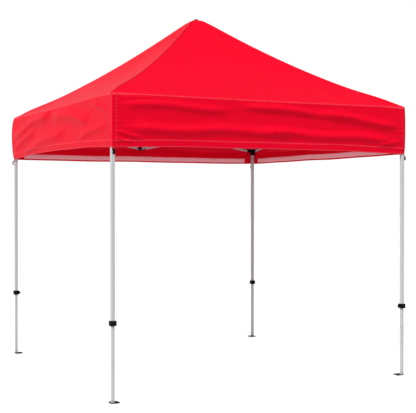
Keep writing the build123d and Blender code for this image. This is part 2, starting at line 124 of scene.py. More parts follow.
# Soft folds in the valances. Each one: where it starts and ends along the side (m) and down the valance
# (0 at the eave, 1 at the hem's edge), half its width (m), and how far it stands out (m).
FOLD_DEPTH = 2.3  # multiplies the heights below
FOLDS = {
    "front": (
        (-1.46, 0.17, -0.30, 0.23, 0.036, 0.0095),
        (-0.36, 0.10, 0.62, 0.25, 0.034, 0.0120),
        (0.40, 0.19, 1.46, 0.44, 0.038, 0.0150),
        (-1.42, 0.66, 0.25, 0.64, 0.044, 0.0120),
        (-0.10, 0.63, 1.42, 0.74, 0.042, 0.0125),
        (-1.47, 0.66, -1.17, 0.86, 0.014, 0.0065),
        (-1.47, 0.80, -1.25, 0.93, 0.011, 0.0040),
        (-0.04, 0.45, 0.17, 0.84, 0.013, 0.0050),
        (0.07, 0.52, 0.25, 0.86, 0.012, 0.0045),
        (1.10, 0.86, 1.46, 0.70, 0.014, 0.0045),
        (-1.44, 0.06, -1.02, 0.03, 0.012, 0.0035),
    ),
    "left": (
        (-1.45, 0.47, -0.05, 0.02, 0.050, 0.0110),
        (-1.45, 0.80, -0.55, 0.36, 0.040, 0.0080),
        (-1.10, 0.93, 0.35, 0.55, 0.050, 0.0080),
        (-0.15, 0.14, 1.05, 0.42, 0.055, 0.0090),
        (0.55, 0.80, 1.46, 0.56, 0.036, 0.0070),
        (0.95, 0.12, 1.46, 0.30, 0.024, 0.0050),
    ),
    "right": (
        (-1.45, 0.50, -0.35, 0.14, 0.042, 0.0110),
        (-0.55, 0.18, 1.46, 0.30, 0.040, 0.0120),
        (-1.42, 0.72, 0.10, 0.62, 0.042, 0.0105),
        (0.00, 0.66, 1.45, 0.76, 0.042, 0.0110),
        (1.18, 0.88, 1.46, 0.68, 0.013, 0.0050),
        (-0.30, 0.50, -0.08, 0.85, 0.014, 0.0045),
    ),
    "back": (
        (-1.46, 0.20, 0.20, 0.16, 0.038, 0.0110),
        (0.05, 0.13, 1.46, 0.42, 0.040, 0.0130),
        (-1.42, 0.74, -0.10, 0.64, 0.042, 0.0110),
        (-0.20, 0.66, 1.42, 0.72, 0.044, 0.0110),
        (0.32, 0.48, 0.55, 0.86, 0.014, 0.0050),
        (-1.47, 0.68, -1.20, 0.87, 0.014, 0.0055),
    ),
}

STRIP_LOW, STRIP_HIGH = 0.016, 0.065  # hook-and-loop strip, above the hem's edge
STRIP_THICKNESS, STRIP_GAP = 0.0014, 0.0006
STRIP_END_GAP = 0.098  # from a leg's axis to the end of a strip
STRIP_ROWS, STRIP_COLUMNS = 8, 150
PATCH_RADII = (0.0092, 0.012, 0.015, 0.017, 0.018)
PATCH_LIFTS = (0.0060, 0.0004)  # outer and inner face, above the roof


def smooth(low, high, x):
    """0 below low, 1 above high, and a smooth step between."""
    t = np.clip((np.asarray(x, float) - low) / (high - low), 0, 1)
    return t * t * (3 - 2 * t)


def bump(centre, width, x):
    """1 at the centre, falling smoothly to 0 over the width on each side."""
    return np.exp(-(((x - centre) / width) ** 2))


def graded(length, fine, coarse, zone):
    """Distances from 0 to length, close together at first and wider after the zone."""
    places = [0.0]
    while places[-1] < length:
        places.append(places[-1] + fine + (coarse - fine) * float(smooth(0, zone, places[-1])))
    return np.array(places) * length / places[-1]


# ---------------------------------------------------------------- shape of the open cloth
def at_corner(side, s, values):
    """The value of the nearer of a side's two corners."""
    return np.where(s > 0, values[side], values[side - 1])


def hem_height(side, s):
    """Height of a valance's lower edge, at s from -1 to 1 along the side."""
    arch = ARCH.get(side, OTHER_ARCH)
    ripple = HEM_RIPPLES[0] * np.sin(5.1 * s + 1.7 * side) + HEM_RIPPLES[1] * np.sin(11.3 * s + 0.6 * side)
    return HEM_Z + arch * (1 - s**2) + ripple * (1 - s**4)


def eave_height(s):
    """Height of the eave, at s along the side."""
    return EAVE_Z - EAVE_SAG * (1 - s**2)


def folds(side, s, t):
    """How far the soft folds stand out."""
    u, v = s * HALF, t * VALANCE
    total = 0
    for start, from_t, end, to_t, width, height in FOLDS[SIDES[side]]:
        run, drop = end - start, (to_t - from_t) * VALANCE
        length = math.hypot(run, drop)
        along = ((u - start) * run + (v - from_t * VALANCE) * drop) / length
        wander = 0.25 * width * np.sin(7.3 * along + 3 * width / 0.01)
        across = (-(u - start) * drop + (v - from_t * VALANCE) * run) / length + wander
        fade = min(0.30, 0.35 * length)
        ends = smooth(0, fade, along) * smooth(length, length - fade, along)
        total = total + FOLD_DEPTH * height * np.exp(-((across / width) ** 2)) * ends
    return total


def valance_offset(side, s, t):
    """How far the valance stands out of its plane, at t from 0 at the eave to 1 at the hem's edge."""
    corner = (1 - np.abs(s)) * HALF
    free = 1 - np.exp(-((corner / 0.05) ** 2))
    slow = SLOW_WAVE * np.sin(3.3 * s + 1.3 * side) * np.sin(math.pi * t)
    body = (folds(side, s, t) + slow) * free * smooth(0, 0.05, t)
    body = body * (1 - 0.8 * smooth(0.86, 0.95, t))
    ripple = np.sin(2 * math.pi * (t / 0.074 + 0.3 * np.sin(11 * t + side)))
    ripple = ripple + 0.6 * np.sin(2 * math.pi * (t / 0.047 + 0.4 * np.sin(7 * t)))
    reach = 0.055 + 0.045 * np.sin(9 * t + 2 * side) ** 2
    pucker = PUCKER_DEPTH * ripple * np.exp(-np.maximum(corner - PUCKER_CLEAR, 0) / reach)
    pucker = pucker * smooth(0.004, 0.05, corner) * smooth(1.0, 0.9, t) * smooth(0.03, 0.1, t)
    bulge = at_corner(side, s, CORNER_BULGE) * np.sin(math.pi * np.clip(t, 0, 1) ** 0.8) ** 0.8
    bulge = bulge * np.exp(-((corner / BULGE_REACH) ** 2))
    tuck = -TUCK_DEPTH * smooth(0.86, 1.0, t) * np.exp(-((corner / TUCK_REACH) ** 2))
    gathers = GATHER_DEPTH * np.sin(2 * math.pi * (s * HALF / GATHER_PITCH + 0.5 * np.sin(6 * s)))
    gathers = gathers * bump(HEM_LINE, 0.045, t) * (0.4 + 0.6 * np.sin(4.7 * s + side) ** 2) * free
    total = body + pucker + bulge
    return np.maximum(total, LEAST_STAND_OFF) + tuck + gathers


def roof_height(share, s, side):
    """Height of the roof at a share of the way out from the peak, and at s along the side."""
    rise = ROOF_RISE - ROOF_SLOPE * share + ROOF_CURVE * share**2
    dulled = PEAK_DULLING * np.exp(-share / 0.026)
    belly = ROOF_BELLY * (1 - s**2) * np.sin(math.pi * np.clip(share, 0, 1)) ** 2
    flat = HIP_LIFT * bump(0.88, 0.10, share) * np.abs(s) ** 6
    out, along = share * HALF, s * share * HALF
    fan = 0
    for end in (-1, 1):
        turn = side if end > 0 else side - 1
        dx, dy = HALF - out, HALF - end * along
        distance = np.hypot(dx, dy)
        off_hip = np.arctan2(dy, np.maximum(dx, 1e-9)) - math.pi / 4
        phase = turn % 4 + 0.9 * side * smooth(0, 0.4, off_hip)
        rays = np.sin(31 * off_hip + phase) + 0.7 * np.sin(53 * off_hip + 2 * phase)
        fan = fan + FAN_DEPTH * rays * np.exp(-distance / FAN_REACH) * smooth(0.05, 0.22, distance)
    drift = ROOF_DRIFT * np.sin(2.1 * along + 3.0 * share + side) * np.sin(math.pi * share) * (1 - s**2)
    sag = EAVE_SAG * (1 - s**2) * share**2
    return EAVE_Z + rise - dulled - belly + flat + fan * smooth(1.0, 0.97, share) + drift - sag


def rounded(out, s, radius):
    """(out, along) on a square ring with rounded corners."""
    from_corner = (1 - np.abs(s)) * out
    angle = np.clip(1 - from_corner / radius, 0, 1) * math.pi / 4
    on_arc = from_corner < radius
    core = out - radius
    ring_out = np.where(on_arc, core + radius * np.cos(angle), out)
    ring_along = np.where(on_arc, core + radius * np.sin(angle), np.abs(s) * out)
    return ring_out, np.sign(s) * ring_along


def turned(side, out, along, z):
    """Points in the frame: out and along are measured on the right side and turned to the given one."""
    cos, sin = round(math.cos(side * math.pi / 2)), round(math.sin(side * math.pi / 2))
    return np.stack([cos * out - sin * along, sin * out + cos * along, z], axis=-1)


ROOF_LEAN = math.atan2(ROOF_SLOPE - 2 * ROOF_CURVE, HALF)  # of the roof where it meets the eave


def bend(s):
    """Radius of the bend at the eave, and the height of its centre."""
    corner = (1 - np.abs(s)) * HALF
    wider = (CORNER_EAVE_RADIUS - EAVE_RADIUS) * np.exp(-((corner / EAVE_RADIUS_REACH) ** 2))
    radius = EAVE_RADIUS + wider
    return radius, eave_height(s) - radius * math.tan(math.pi / 4 - ROOF_LEAN / 2)


def cloth_rows():
    """The rows of the sheet from the peak down, as (part of the sheet, place in it)."""
    from_eave = graded(1, ROOF_FINE / HALF, ROOF_COARSE / HALF, ROOF_ZONE / HALF)
    rows = [("roof", 1 - x) for x in reversed(from_eave)]
    rows += [("bend", x) for x in np.linspace(0, 1, BEND_ROWS + 2)[1:-1]]
    body = np.linspace(0, HEM_START, VALANCE_ROWS, endpoint=False)
    rows += [("valance", t) for t in (*body, *np.linspace(HEM_START, 1, HEM_ROWS))]
    rows += [("hem", up) for up in TURNED_UP]
    return rows


def cloth_points(part, place, side, s):
    """Points of one row of the sheet on one side, with the row's distances to the seams."""
    radius, centre_z = bend(s)
    hem = hem_height(side, s)
    lean = math.pi / 2 - ROOF_LEAN
    top_out = HALF - radius * (1 - math.cos(lean))
    bend_top = centre_z + radius * math.sin(lean)
    far = np.full_like(s, FAR)
    if part == "roof":
        share = PEAK_OPENING + (top_out / HALF - PEAK_OPENING) * place
        z = roof_height(share, s, side)
        z = z + (bend_top - roof_height(top_out / HALF, s, side)) * smooth(0.90, 1, place)
        corner_radius = np.minimum(CORNER_RADIUS, 0.2 * share * HALF)
        out, along = rounded(share * HALF, s, corner_radius)
        from_eave, from_hem = -(1 - place) * HALF * 1.12 - 0.008, far
    elif part == "bend":
        angle = lean * (1 - place)
        out, along = rounded(HALF - radius + radius * math.cos(angle), s, CORNER_RADIUS)
        z = centre_z + radius * math.sin(angle)
        from_eave, from_hem = -0.008 * (1 - place) + far * 0, far
    else:
        z = centre_z + (hem - centre_z) * place if part == "valance" else hem + place
        t = (centre_z - z) / (centre_z - hem)
        layer = 0 if part == "valance" else HEM_THICKNESS
        out, along = rounded(HALF + valance_offset(side, s, t) - layer, s, CORNER_RADIUS + 0.004 - layer)
        from_eave, from_hem = centre_z - z, (z - hem if part == "valance" else -place + far * 0)
    from_corner = np.abs(np.abs(out) - np.abs(along))
    return turned(side, out, along, z), from_eave + far * 0, from_hem, from_corner, along


def make_cloth():
    """The whole top as one sheet: roof, eave bend, valance and turned-up hem."""
    half_side = graded(HALF, FINE_STEP, COARSE_STEP, FINE_ZONE) / HALF
    s = np.concatenate([-1 + half_side[:-1], 1 - half_side[::-1][:-1]])
    rows = cloth_rows()
    names = ("from_eave", "from_hem", "from_corner", "along")
    points, values = [], {name: [] for name in names}
    for part, place in rows:
        for side in range(4):
            made = cloth_points(part, place, side, s)
            points.append(made[0])
            for name, column in zip(names, made[1:]):
                values[name].append(column)
    around = 4 * len(s)
    faces = []
    for row in range(len(rows) - 1):
        for column in range(around):
            after = (column + 1) % around
            low, high = row * around, (row + 1) * around
            faces.append((low + column, high + column, high + after, low + after))
    cloth = mesh_object("canopy_cloth", np.concatenate(points), faces)
    for name in names:
        layer = cloth.data.attributes.new(name, "FLOAT", "POINT")
        layer.data.foreach_set("value", np.concatenate(values[name]).astype(np.float32))
    return cloth


def mesh_object(name, points, faces):
    """A smooth-shaded mesh object, linked to the scene."""
    mesh = bpy.data.meshes.new(name)
    mesh.from_pydata([tuple(p) for p in points], [], faces)
    mesh.validate()
    mesh.polygons.foreach_set("use_smooth", [True] * len(mesh.polygons))
    made = bpy.data.objects.new(name, mesh)
    bpy.context.scene.collection.objects.link(made)
    return made


# ---------------------------------------------------------------- how the cloth gathers when the frame folds
PLEATS = 6  # on each side
PLEAT_SWING = 0.30  # how far the folds lean to either side, as a share of how far they stand out
SKIRT_PLEAT, SKIRT_FLARE = 0.018, 0.010  # depth of the valance's pleats at the eave, and what the hem adds
LOOP_SAG = 0.03  # of the folds at the lowest point of the loop
TOP_REST_Z = 2.585  # the gathered roof lies just above the hub and the leg brackets
# The roof between the eave (0) and the peak (1), gathered: it hangs in one loop outside the valance and
# goes back over the top. Each row: share, distance outside the legs' line, height, depth of the pleats.
LOOP = (
    (0.00, 0.000, EAVE_Z, 0.018),
    (0.10, 0.016, 2.44, 0.030),
    (0.25, 0.030, 2.24, 0.040),
    (0.44, 0.045, 2.02, 0.048),
    (0.50, 0.060, 1.975, 0.052),
    (0.56, 0.078, 2.01, 0.054),
    (0.70, 0.086, 2.27, 0.048),
    (0.80, 0.080, 2.47, 0.036),
    (0.86, 0.055, 2.553, 0.022),
    (0.91, 0.000, 2.580, 0.008),
    (1.00, -0.130, TOP_REST_Z, 0.000),
)


def pleat(s):
    """From 0 where the cloth is held, at the legs and the side connectors, to 1 on the folds."""
    turn = PLEATS * (s + 1) / 2 + 0.10 * np.sin(2 * math.pi * s)
    return (0.5 - 0.5 * np.cos(2 * math.pi * turn)) ** 0.8


def gathered(points):
    """Where points on the open cloth lie once the frame is folded."""
    x, y, z = points.T
    side = np.where(np.abs(x) >= np.abs(y), np.where(x > 0, 0, 2), np.where(y > 0, 1, 3))
    cos, sin = np.cos(side * math.pi / 2), np.sin(side * math.pi / 2)
    out, along = cos * x + sin * y, -sin * x + cos * y
    s = np.clip(along / np.maximum(out, 1e-6), -1, 1)
    folded_half = HALF - TRAVEL_IN
    on_roof = smooth(EAVE_Z - 0.012, EAVE_Z - 0.002, z)
    up_roof = np.clip(1 - out / HALF, 0, 1)
    share, beyond, height, depth = (np.array(column) for column in zip(*LOOP))
    roof_beyond = np.interp(up_roof, share, beyond) + np.interp(up_roof, share, depth) * pleat(s)
    roof_z = np.interp(up_roof, share, height) - LOOP_SAG * pleat(s) * bump(0.5, 0.2, up_roof)
    hang = np.clip((EAVE_Z - z) / (EAVE_Z - HEM_Z), 0, 1)
    skirt_beyond = (out - HALF) + (SKIRT_PLEAT + SKIRT_FLARE * hang) * pleat(s)
    beyond = on_roof * roof_beyond + (1 - on_roof) * skirt_beyond
    new_z = np.minimum(z, on_roof * roof_z + (1 - on_roof) * z)
    new_out = folded_half + beyond
    swing = PLEAT_SWING * (new_out - folded_half) * np.sin(2 * math.pi * PLEATS * (s + 1) / 2) * (1 - s**4)
    new_along = s * new_out + swing * np.clip(1 - up_roof, 0, 1)
    return np.stack([cos * new_out - sin * new_along, sin * new_out + cos * new_along, new_z], axis=-1)


def ride_and_gather(piece):
    """piece rides on the upper hub, and hooks on the moving bodies gather it as they come in and down."""
    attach(piece, "upper_hub")
    count = len(piece.data.vertices)
    points = np.zeros(count * 3)
    piece.data.vertices.foreach_get("co", points)
    points = points.reshape(-1, 3)
    moved = gathered(points) - points
    pulls = {
        "right_top_connector": -moved[:, 0] / TRAVEL_IN,
        "left_top_connector": moved[:, 0] / TRAVEL_IN,
        "back_top_connector": -moved[:, 1] / TRAVEL_IN,
        "front_top_connector": moved[:, 1] / TRAVEL_IN,
        "lower_hub": -moved[:, 2] / TRAVEL_DOWN,
    }
    for body, weights in pulls.items():
        group = piece.vertex_groups.new(name=f"gather_{body}")
        for index, weight in enumerate(np.clip(weights, 0, 1)):
            if weight > 0:
                group.add([index], float(weight), "REPLACE")
        hook = piece.modifiers.new(f"gather_{body}", "HOOK")
        hook.object = frame["bodies"][body]
        hook.vertex_group = group.name
        hook.falloff_type = "NONE"


# ---------------------------------------------------------------- strips in the valance, patch at the peak
def shell(name, front, back):
    """Closed piece between two equal grids of points, rows by columns."""
    rows, columns = front.shape[:2]
    points = np.concatenate([front.reshape(-1, 3), back.reshape(-1, 3)])
    count = rows * columns
    faces = []
    for r in range(rows - 1):
        for c in range(columns - 1):
            a, b = r * columns + c, (r + 1) * columns + c
            faces += [(a, b, b + 1, a + 1), (count + a, count + a + 1, count + b + 1, count + b)]
    rim = [(0, c) for c in range(columns)]
    rim += [(r, columns - 1) for r in range(1, rows)]
    rim += [(rows - 1, c) for c in reversed(range(columns - 1))]
    rim += [(r, 0) for r in reversed(range(1, rows - 1))]
    for (r0, c0), (r1, c1) in zip(rim, rim[1:] + rim[:1]):
        a, b = r0 * columns + c0, r1 * columns + c1
        faces.append((a, b, count + b, count + a))
    return mesh_object(name, points, faces)


def make_strip(side):
    """The hook-and-loop strip inside one valance, between the legs."""
    reach = (LEG_AXIS - STRIP_END_GAP) / HALF
    s = np.linspace(-reach, reach, STRIP_COLUMNS)
    centre_z, hem = bend(s)[1], hem_height(side, s)
    layers = []
    for depth in (0, STRIP_THICKNESS):
        rows = []
        for up in np.linspace(STRIP_LOW, STRIP_HIGH, STRIP_ROWS):
            t = (centre_z - hem - up) / (centre_z - hem)
            layer = HEM_THICKNESS if up < HEM_HEIGHT + 0.004 else HEM_THICKNESS * 0.6
            out = HALF + valance_offset(side, s, t) - layer - STRIP_GAP - depth
            rows.append(turned(side, out, s * HALF, hem + up))
        layers.append(np.array(rows))
    return shell(f"{SIDES[side]}_hook_and_loop_strip", *layers)


def make_patch():
    """The black reinforcing patch sewn round the opening at the peak."""
    angles = np.linspace(0, 2 * math.pi, 49)
    layers = []
    for lift in PATCH_LIFTS:
        rows = []
        for radius in PATCH_RADII:
            x, y = radius * np.cos(angles), radius * np.sin(angles)
            share = np.maximum(np.abs(x), np.abs(y)) / HALF
            rows.append(np.stack([x, y, roof_height(share, 0 * share, 0) + lift], axis=-1))
        layers.append(np.array(rows))
    return shell("peak_patch", *layers)


# ---------------------------------------------------------------- corner straps
def smooth_path(points, steps=6):
    """Catmull-Rom curve through the points."""
    points = np.array(points, float)
    padded = np.vstack([2 * points[0] - points[1], points, 2 * points[-1] - points[-2]])
    made = []
    for a, b, c, d in zip(padded, padded[1:], padded[2:], padded[3:]):
        for t in np.linspace(0, 1, steps, endpoint=False):
            square, cube = (2 * a - 5 * b + 4 * c - d) * t**2, (3 * b - a - 3 * c + d) * t**3
            made.append(0.5 * (2 * b + (c - a) * t + square + cube))
    return np.array([*made, points[-1]])


def make_band(name, path, half_width, half_thick, corner):
    """A flat band with rounded edges. path gives (off the leg's face, height) on the leg's outer face."""
    path = smooth_path(path)
    tangents = np.gradient(path, axis=0)
    tangents /= np.linalg.norm(tangents, axis=1)[:, None]
    edge = 0.5 * half_thick
    section = []
    for turn, (x, y) in enumerate(((1, 1), (-1, 1), (-1, -1), (1, -1))):
        for step in (0, 0.5, 1):
            angle = (turn + step) * math.pi / 2
            section.append((
                x * (half_width - edge) + edge * math.cos(angle),
                y * (half_thick - edge) + edge * math.sin(angle),
            ))
    points = []
    for (off, height), (run, rise) in zip(path, tangents):
        for across, through in section:
            x, y, z = LEG_AXIS + across, LEG_FACE + off + through * rise, height - through * run
            points.append(turned(corner, x, y, z))
    around = len(section)
    faces = []
    for ring in range(len(path) - 1):
        for k in range(around):
            n = (k + 1) % around
            low, high = ring * around, (ring + 1) * around
            faces.append((low + k, low + n, high + n, high + k))
    end = (len(path) - 1) * around
    faces += [tuple(reversed(range(around))), tuple(end + k for k in range(around))]
    return mesh_object(name, points, faces)


LEG_FACE = LEG_AXIS + 0.016  # outer face of the upper leg tube
STRAP_HALVES = (0.0130, 0.0008)  # half the width and half the thickness
HOOK_HALVES = (0.0110, 0.0030)
# Off the leg's face, and above the hem's edge.
STRAP_PATH = ((0.0014, 0.050), (0.0014, 0.012), (0.0018, -0.002), (0.0050, -0.014), (0.0095, -0.025))
HOOK_PATH = ((0.0055, -0.010), (0.0120, -0.022), (0.0185, -0.034), (0.0180, -0.046), (0.0110, -0.055))


def make_strap(corner):
    """The webbing tab and its hook that tie the valance's lower corner to a leg."""
    strap_path = [(off, HEM_Z + up) for off, up in STRAP_PATH]
    hook_path = [(off, HEM_Z + up) for off, up in HOOK_PATH]
    strap = make_band(f"{CORNERS[corner]}_corner_strap", strap_path, *STRAP_HALVES, corner)
    hook = make_band(f"{CORNERS[corner]}_corner_hook", hook_path, *HOOK_HALVES, corner)
    for piece in (strap, hook):
        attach(piece, f"{CORNERS[corner]}_leg")
    return strap, hook


# ---------------------------------------------------------------- materials
NOISE_ROUGHNESS = 0.55


class Nodes:
    """Short ways to add and link the nodes of one material."""

    def __init__(self, name):
        self.material = bpy.data.materials.new(name)
        self.material.use_nodes = True
        self.tree = self.material.node_tree
        self.shader = self.tree.nodes["Principled BSDF"]

    def add(self, kind, **settings):
        node = self.tree.nodes.new(kind)
        for key, value in settings.items():
            setattr(node, key, value)
        return node

    def link(self, source, target):
        self.tree.links.new(source, target)

    def math(self, operation, a, b=0.5, clamp=False):
        node = self.add("ShaderNodeMath", operation=operation, use_clamp=clamp)
        for socket, value in zip(node.inputs, (a, b)):
            if isinstance(value, (int, float)):
                socket.default_value = value
            else:
                self.link(value, socket)
        return node.outputs[0]

    def attribute(self, name):
        return self.add("ShaderNodeAttribute", attribute_name=name).outputs["Fac"]

    def noise(self, scale, detail, vector=None):
        node = self.add("ShaderNodeTexNoise")
        node.inputs["Scale"].default_value = scale
        node.inputs["Detail"].default_value = detail
        node.inputs["Roughness"].default_value = NOISE_ROUGHNESS
        self.link(vector or self.place(), node.inputs["Vector"])
        return node.outputs["Fac"]

    def place(self):
        return self.add("ShaderNodeTexCoord").outputs["Object"]

    def stretched(self, x, y, z):
        node = self.add("ShaderNodeMapping")
        node.inputs["Scale"].default_value = (x, y, z)
        self.link(self.place(), node.inputs["Vector"])
        return node.outputs["Vector"]

    def band(self, value, centre, half_width):
        """1 on a line at centre, falling to 0 at half_width from it."""
        off = self.math("ABSOLUTE", self.math("SUBTRACT", value, centre))
        return self.math("SUBTRACT", 1, self.math("DIVIDE", off, half_width), clamp=True)

    def mix(self, factor, a, b):
        """Colour a where factor is 0 and b where it is 1; the mix node's colours are its inputs 6 and 7."""
        node = self.add("ShaderNodeMix", data_type="RGBA")
        for socket, value in ((node.inputs[0], factor), (node.inputs[6], a), (node.inputs[7], b)):
            if isinstance(value, (int, float)):
                socket.default_value = value
            elif isinstance(value, tuple):
                socket.default_value = (*value, 1)
            else:
                self.link(value, socket)
        return node.outputs[2]

    def relief(self, height, strength, distance, normal=None):
        node = self.add("ShaderNodeBump")
        node.inputs["Strength"].default_value = strength
        node.inputs["Distance"].default_value = distance
        self.link(height, node.inputs["Height"])
        if normal is not None:
            self.link(normal, node.inputs["Normal"])
        return node.outputs["Normal"]

    def set(self, **values):
        for name, value in values.items():
            socket = self.shader.inputs[name.replace("_", " ")]
            if isinstance(value, (int, float, tuple)):
                socket.default_value = value
            else:
                self.link(value, socket)


CLOTH_RED = (0.82, 0.0012, 0.024)
CLOTH_SHADE = (0.74, 0.0010, 0.018)
# The pale seam colour is a painted highlight on the stitched seams and the hem's edge.
CLOTH_SEAM_HIGHLIGHT = (1.00, 0.150, 0.210)
# The dark hip-seam colour is painted shade along the roof's hips.
CLOTH_HIP_SHADE = (0.20, 0.0005, 0.006)
CLOTH_SHEEN = (1.0, 0.50, 0.60, 1)
LIGHT_THROUGH = 0.14  # share of light that passes through the cloth
STITCH, THREAD = 0.009, 0.0011  # spacing along a seam and of the weave, m
TAPE_PINK, TAPE_SOILED = (0.95, 0.56, 0.62), (0.88, 0.44, 0.50)
VINYL_BLACK, VINYL_SCUFFED = (0.004, 0.004, 0.004), (0.010, 0.009, 0.010)
WEBBING_RED, WEBBING_SHADE = (0.62, 0.004, 0.015), (0.50, 0.003, 0.012)
WHITE, WHITE_GRIME = (0.465, 0.475, 0.48), (0.42, 0.42, 0.42)
PLASTIC_BLACK, PLASTIC_DUSTY = (0.004, 0.004, 0.0045), (0.009, 0.009, 0.0095)
STEEL_LIGHT, STEEL_DARK = (0.030, 0.030, 0.032), (0.018, 0.018, 0.020)
FLOOR_LIGHT, FLOOR_DARK = (0.22, 0.22, 0.22), (0.20, 0.20, 0.20)


def cloth_material():
    """Coated polyester: weave, soft creases, sewn seams with their stitches painted pale as the highlight they
    catch, hip seams painted dark as shade along the hips, and light through the cloth.
    """
    m = Nodes("red_polyester")
    from_eave, from_hem = m.attribute("from_eave"), m.attribute("from_hem")
    from_corner, along = m.attribute("from_corner"), m.attribute("along")
    on_roof = m.math("LESS_THAN", from_eave, -0.012)
    on_valance = m.math("GREATER_THAN", from_eave, 0.004)
    # The roof's hip seams: this mask gives the seam's raised relief and a dark line of painted shade along the
    # hips.
    hip_seam_and_shade = m.math("MULTIPLY", m.band(from_corner, 0.0, 0.013), on_roof)
    tape_seam = m.math("MULTIPLY", m.band(from_corner, CORNER_TAPE, 0.0045), on_valance)
    corner_seam = m.math("MULTIPLY", m.band(from_corner, 0.004, 0.0050), on_valance)
    eave_seam = m.band(from_eave, 0.0, 0.0065)
    hem_top = m.band(from_hem, HEM_HEIGHT, 0.0050)
    hem_edge = m.band(from_hem, 0.003, 0.0065)
    # Seams and the hem's edge are painted pale: partly their stitches, mostly a painted highlight that the
    # raised seams catch.
    seam_highlight = eave_seam
    for seam in (hem_top, hem_edge, corner_seam, m.math("MULTIPLY", tape_seam, 0.5)):
        seam_highlight = m.math("MAXIMUM", seam_highlight, seam)
    stitch = m.math("SINE", m.math("MULTIPLY", along, 2 * math.pi / STITCH))
    broken = m.math("ADD", m.math("MULTIPLY", m.noise(38, 3), 1.1), m.math("MULTIPLY", stitch, 0.18))
    stitches_and_highlight = m.math("MULTIPLY", seam_highlight, broken, clamp=True)
    patchy = m.noise(1.6, 4)
    colour = m.mix(patchy, CLOTH_RED, CLOTH_SHADE)
    # painted shade darkens the hip seams
    colour = m.mix(m.math("MULTIPLY", hip_seam_and_shade, 0.9), colour, CLOTH_HIP_SHADE)
    # painted highlight along the seams, broken by the stitches
    colour = m.mix(m.math("MULTIPLY", stitches_and_highlight, 0.62), colour, CLOTH_SEAM_HIGHLIGHT)
    threads = m.math("SINE", m.math("MULTIPLY", along, 2 * math.pi / THREAD))
    weave = m.add("ShaderNodeTexWave", wave_type="BANDS", bands_direction="Z")
    weave.inputs["Scale"].default_value = 140
    m.link(m.place(), weave.inputs["Vector"])
    cross = m.math("MULTIPLY", weave.outputs["Fac"], threads)
    near_hem = m.band(from_hem, 0.028, 0.045)
    near_corner = m.math("MULTIPLY", m.band(from_corner, 0.03, 0.07), on_valance)
    pucker = m.math("MULTIPLY", m.noise(46, 2), m.math("MAXIMUM", near_hem, near_corner))
    normal = m.relief(m.noise(7, 3, m.stretched(1, 1, 1.7)), 0.35, 0.012)
    normal = m.relief(pucker, 0.6, 0.008, normal)
    normal = m.relief(m.math("MAXIMUM", stitches_and_highlight, m.math("MULTIPLY", hip_seam_and_shade, 0.25)), 0.8, 0.002, normal)
    normal = m.relief(cross, 0.10, 0.0002, normal)
    m.set(Base_Color=colour, Roughness=m.math("ADD", m.math("MULTIPLY", patchy, 0.10), 0.36), Normal=normal)
    m.set(Sheen_Weight=0.08, Sheen_Roughness=0.25, Specular_IOR_Level=0.040)
    m.shader.inputs["Sheen Tint"].default_value = CLOTH_SHEEN
    through = m.add("ShaderNodeBsdfTranslucent")
    m.link(colour, through.inputs["Color"])
    both = m.add("ShaderNodeMixShader")
    both.inputs[0].default_value = LIGHT_THROUGH
    m.link(m.shader.outputs[0], both.inputs[1])
    m.link(through.outputs[0], both.inputs[2])
    m.link(both.outputs[0], m.tree.nodes["Material Output"].inputs["Surface"])
    return m.material


def strip_material():
    """Pale hook-and-loop tape: fine pile, slightly soiled."""
    m = Nodes("hook_and_loop_pink")
    pile = m.noise(900, 2)
    soil = m.noise(7, 4, m.stretched(1, 1, 0.4))
    m.set(Base_Color=m.mix(soil, TAPE_PINK, TAPE_SOILED), Roughness=0.9)
    m.set(Normal=m.relief(pile, 0.6, 0.0008), Sheen_Weight=0.4)
    return m.material


def vinyl_material():
    """Black vinyl of the patch at the peak."""
    m = Nodes("black_vinyl")
    scuffs = m.noise(130, 4)
    m.set(Base_Color=m.mix(scuffs, VINYL_BLACK, VINYL_SCUFFED), Specular_IOR_Level=0.05)
    m.set(Roughness=m.math("ADD", m.math("MULTIPLY", scuffs, 0.3), 0.35))
    m.set(Normal=m.relief(scuffs, 0.3, 0.0006))
    return m.material


def webbing_material():
    """Red polyester webbing with its ribs."""
    m = Nodes("red_webbing")
    ribs = m.add("ShaderNodeTexWave", wave_type="BANDS", bands_direction="Z")
    ribs.inputs["Scale"].default_value = 90
    m.link(m.place(), ribs.inputs["Vector"])
    m.set(Base_Color=m.mix(m.noise(60, 2), WEBBING_RED, WEBBING_SHADE), Roughness=0.7)
    m.set(Normal=m.relief(ribs.outputs["Fac"], 0.6, 0.0006), Sheen_Weight=0.3)
    return m.material


def powder_coat_material():
    """White powder coat on tube: orange peel, faint handling marks."""
    m = Nodes("white_powder_coat_look")
    marks = m.noise(5, 5, m.stretched(6, 6, 0.7))
    grime = m.math("MULTIPLY", m.math("SUBTRACT", marks, 0.52, clamp=True), 1.1)
    m.set(Base_Color=m.mix(grime, WHITE, WHITE_GRIME), Specular_IOR_Level=0.5)
    m.set(Roughness=m.math("ADD", m.math("MULTIPLY", m.noise(14, 3), 0.18), 0.28))
    m.set(Normal=m.relief(m.noise(420, 2), 0.12, 0.0006))
    return m.material


def black_plastic_material():
    """Moulded glass-filled nylon: fine grain, a little dusty."""
    m = Nodes("black_plastic_look")
    dust = m.noise(22, 4)
    m.set(Base_Color=m.mix(dust, PLASTIC_BLACK, PLASTIC_DUSTY), Specular_IOR_Level=0.04)
    m.set(Roughness=m.math("ADD", m.math("MULTIPLY", dust, 0.25), 0.34))
    m.set(Normal=m.relief(m.noise(700, 2), 0.25, 0.0005))
    return m.material


